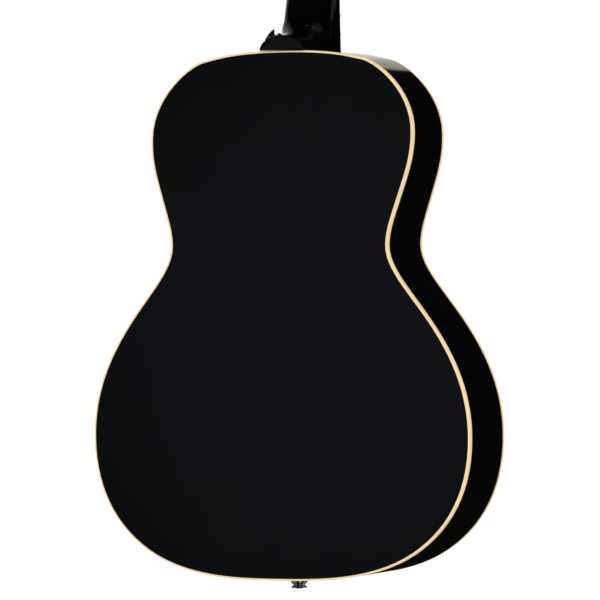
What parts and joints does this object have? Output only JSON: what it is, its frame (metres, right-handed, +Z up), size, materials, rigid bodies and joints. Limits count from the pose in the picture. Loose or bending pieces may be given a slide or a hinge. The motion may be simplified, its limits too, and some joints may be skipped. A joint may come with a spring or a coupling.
{
  "type": "acoustic guitar",
  "caption": "Small-bodied flat-top steel-string acoustic guitar, black with cream binding, arched back, strap buttons, tuning machines and pull-out bridge pins.",
  "frame": {"origin": "on the centre line at the nut, level with the outer face of the top, where a hanger's yoke takes the neck under the headstock", "axes": "+Z up the neck to the headstock, -Y out of the front (strings), +Y out of the back, +X to the treble side"},
  "size_m": [0.3752, 0.11, 1.0186],
  "materials": {
    "black_lacquer": "gloss black lacquer",
    "cream_binding": "polished cream",
    "mahogany": "bare sanded",
    "spruce": "bare sanded",
    "rosewood": "oiled satin",
    "bone": "satin ivory",
    "tortoise": "polished mottled brown",
    "rod_steel": "plain turned",
    "nickel": "polished nickel plate",
    "plain_steel": "bright drawn",
    "bronze_winding": "wound bronze"
  },
  "bodies": {
    "instrument": {"top": "black_lacquer", "back": "black_lacquer", "side_treble": "black_lacquer", "side_bass": "black_lacquer", "top_binding": "cream_binding", "back_binding": "cream_binding", "top_lining_treble": "mahogany", "top_lining_bass": "mahogany", "back_lining_treble": "mahogany", "back_lining_bass": "mahogany", "neck_block": "mahogany", "tail_block": "mahogany", "back_brace_1": "spruce", "back_brace_2": "spruce", "back_brace_3": "spruce", "back_brace_4": "spruce", "x_brace_treble": "spruce", "x_brace_bass": "spruce", "upper_brace": "spruce", "tone_bar_1": "spruce", "tone_bar_2": "spruce", "bridge_plate": "mahogany", "bridge": "rosewood", "saddle": "bone", "pickguard": "tortoise", "neck": "black_lacquer", "heel_cap": "black_lacquer", "fretboard": "rosewood", "nut": "bone", "truss_rod": "rod_steel", "truss_rod_cover": "black_lacquer", "heel_strap_button": "nickel", "end_button": "nickel", "tuner_plate_treble": "nickel", "tuner_plate_bass": "nickel", "string_1": "plain_steel", "string_2": "plain_steel", "string_3": "bronze_winding", "string_4": "bronze_winding", "string_5": "bronze_winding", "string_6": "bronze_winding"},
    "post_1": {"tuner_post_1": "nickel"},
    "knob_1": {"tuner_knob_1": "nickel"},
    "pin_1": {"bridge_pin_1": "bone"},
    "post_2": {"tuner_post_2": "nickel"},
    "knob_2": {"tuner_knob_2": "nickel"},
    "pin_2": {"bridge_pin_2": "bone"},
    "post_3": {"tuner_post_3": "nickel"},
    "knob_3": {"tuner_knob_3": "nickel"},
    "pin_3": {"bridge_pin_3": "bone"},
    "post_4": {"tuner_post_4": "nickel"},
    "knob_4": {"tuner_knob_4": "nickel"},
    "pin_4": {"bridge_pin_4": "bone"},
    "post_5": {"tuner_post_5": "nickel"},
    "knob_5": {"tuner_knob_5": "nickel"},
    "pin_5": {"bridge_pin_5": "bone"},
    "post_6": {"tuner_post_6": "nickel"},
    "knob_6": {"tuner_knob_6": "nickel"},
    "pin_6": {"bridge_pin_6": "bone"},
    "rod_nut": {"truss_rod_nut": "rod_steel"}
  },
  "joints": [
    {"name": "post_1_turn", "type": "hinge", "parent": "instrument", "child": "post_1", "pos_m": [0.021, 0.00919, 0.04147], "axis": [0, 0.9703, -0.2419], "continuous": true},
    {"name": "knob_1_turn", "type": "hinge", "parent": "instrument", "child": "knob_1", "pos_m": [0.021, 0.03092, 0.04595], "axis": [1, 0, 0], "continuous": true},
    {"name": "post_2_turn", "type": "hinge", "parent": "instrument", "child": "post_2", "pos_m": [0.021, 0.01887, 0.08028], "axis": [0, 0.9703, -0.2419], "continuous": true},
    {"name": "knob_2_turn", "type": "hinge", "parent": "instrument", "child": "knob_2", "pos_m": [0.021, 0.0406, 0.08476], "axis": [1, 0, 0], "continuous": true},
    {"name": "post_3_turn", "type": "hinge", "parent": "instrument", "child": "post_3", "pos_m": [0.021, 0.02855, 0.1191], "axis": [0, 0.9703, -0.2419], "continuous": true},
    {"name": "knob_3_turn", "type": "hinge", "parent": "instrument", "child": "knob_3", "pos_m": [0.021, 0.05028, 0.12357], "axis": [1, 0, 0], "continuous": true},
    {"name": "post_4_turn", "type": "hinge", "parent": "instrument", "child": "post_4", "pos_m": [-0.021, 0.02855, 0.1191], "axis": [0, 0.9703, -0.2419], "continuous": true},
    {"name": "knob_4_turn", "type": "hinge", "parent": "instrument", "child": "knob_4", "pos_m": [-0.021, 0.05028, 0.12357], "axis": [-1, 0, 0], "continuous": true},
    {"name": "post_5_turn", "type": "hinge", "parent": "instrument", "child": "post_5", "pos_m": [-0.021, 0.01887, 0.08028], "axis": [0, 0.9703, -0.2419], "continuous": true},
    {"name": "knob_5_turn", "type": "hinge", "parent": "instrument", "child": "knob_5", "pos_m": [-0.021, 0.0406, 0.08476], "axis": [-1, 0, 0], "continuous": true},
    {"name": "post_6_turn", "type": "hinge", "parent": "instrument", "child": "post_6", "pos_m": [-0.021, 0.00919, 0.04147], "axis": [0, 0.9703, -0.2419], "continuous": true},
    {"name": "knob_6_turn", "type": "hinge", "parent": "instrument", "child": "knob_6", "pos_m": [-0.021, 0.03092, 0.04595], "axis": [-1, 0, 0], "continuous": true},
    {"name": "pin_1_pull", "type": "slide", "parent": "instrument", "child": "pin_1", "axis": [0, -1, 0], "range_m": [0, 0.032]},
    {"name": "pin_2_pull", "type": "slide", "parent": "instrument", "child": "pin_2", "axis": [0, -1, 0], "range_m": [0, 0.032]},
    {"name": "pin_3_pull", "type": "slide", "parent": "instrument", "child": "pin_3", "axis": [0, -1, 0], "range_m": [0, 0.032]},
    {"name": "pin_4_pull", "type": "slide", "parent": "instrument", "child": "pin_4", "axis": [0, -1, 0], "range_m": [0, 0.032]},
    {"name": "pin_5_pull", "type": "slide", "parent": "instrument", "child": "pin_5", "axis": [0, -1, 0], "range_m": [0, 0.032]},
    {"name": "pin_6_pull", "type": "slide", "parent": "instrument", "child": "pin_6", "axis": [0, -1, 0], "range_m": [0, 0.032]},
    {"name": "truss_nut_turn", "type": "hinge", "parent": "instrument", "child": "rod_nut", "pos_m": [0, 0.0085, 0.0129], "axis": [0, 0, 1], "range_deg": [-180, 180]}
  ],
  "couplings": [
    {"joint": "post_1_turn", "follows": "knob_1_turn", "ratio": 0.071429},
    {"joint": "post_2_turn", "follows": "knob_2_turn", "ratio": 0.071429},
    {"joint": "post_3_turn", "follows": "knob_3_turn", "ratio": 0.071429},
    {"joint": "post_4_turn", "follows": "knob_4_turn", "ratio": -0.071429},
    {"joint": "post_5_turn", "follows": "knob_5_turn", "ratio": -0.071429},
    {"joint": "post_6_turn", "follows": "knob_6_turn", "ratio": -0.071429}
  ]
}
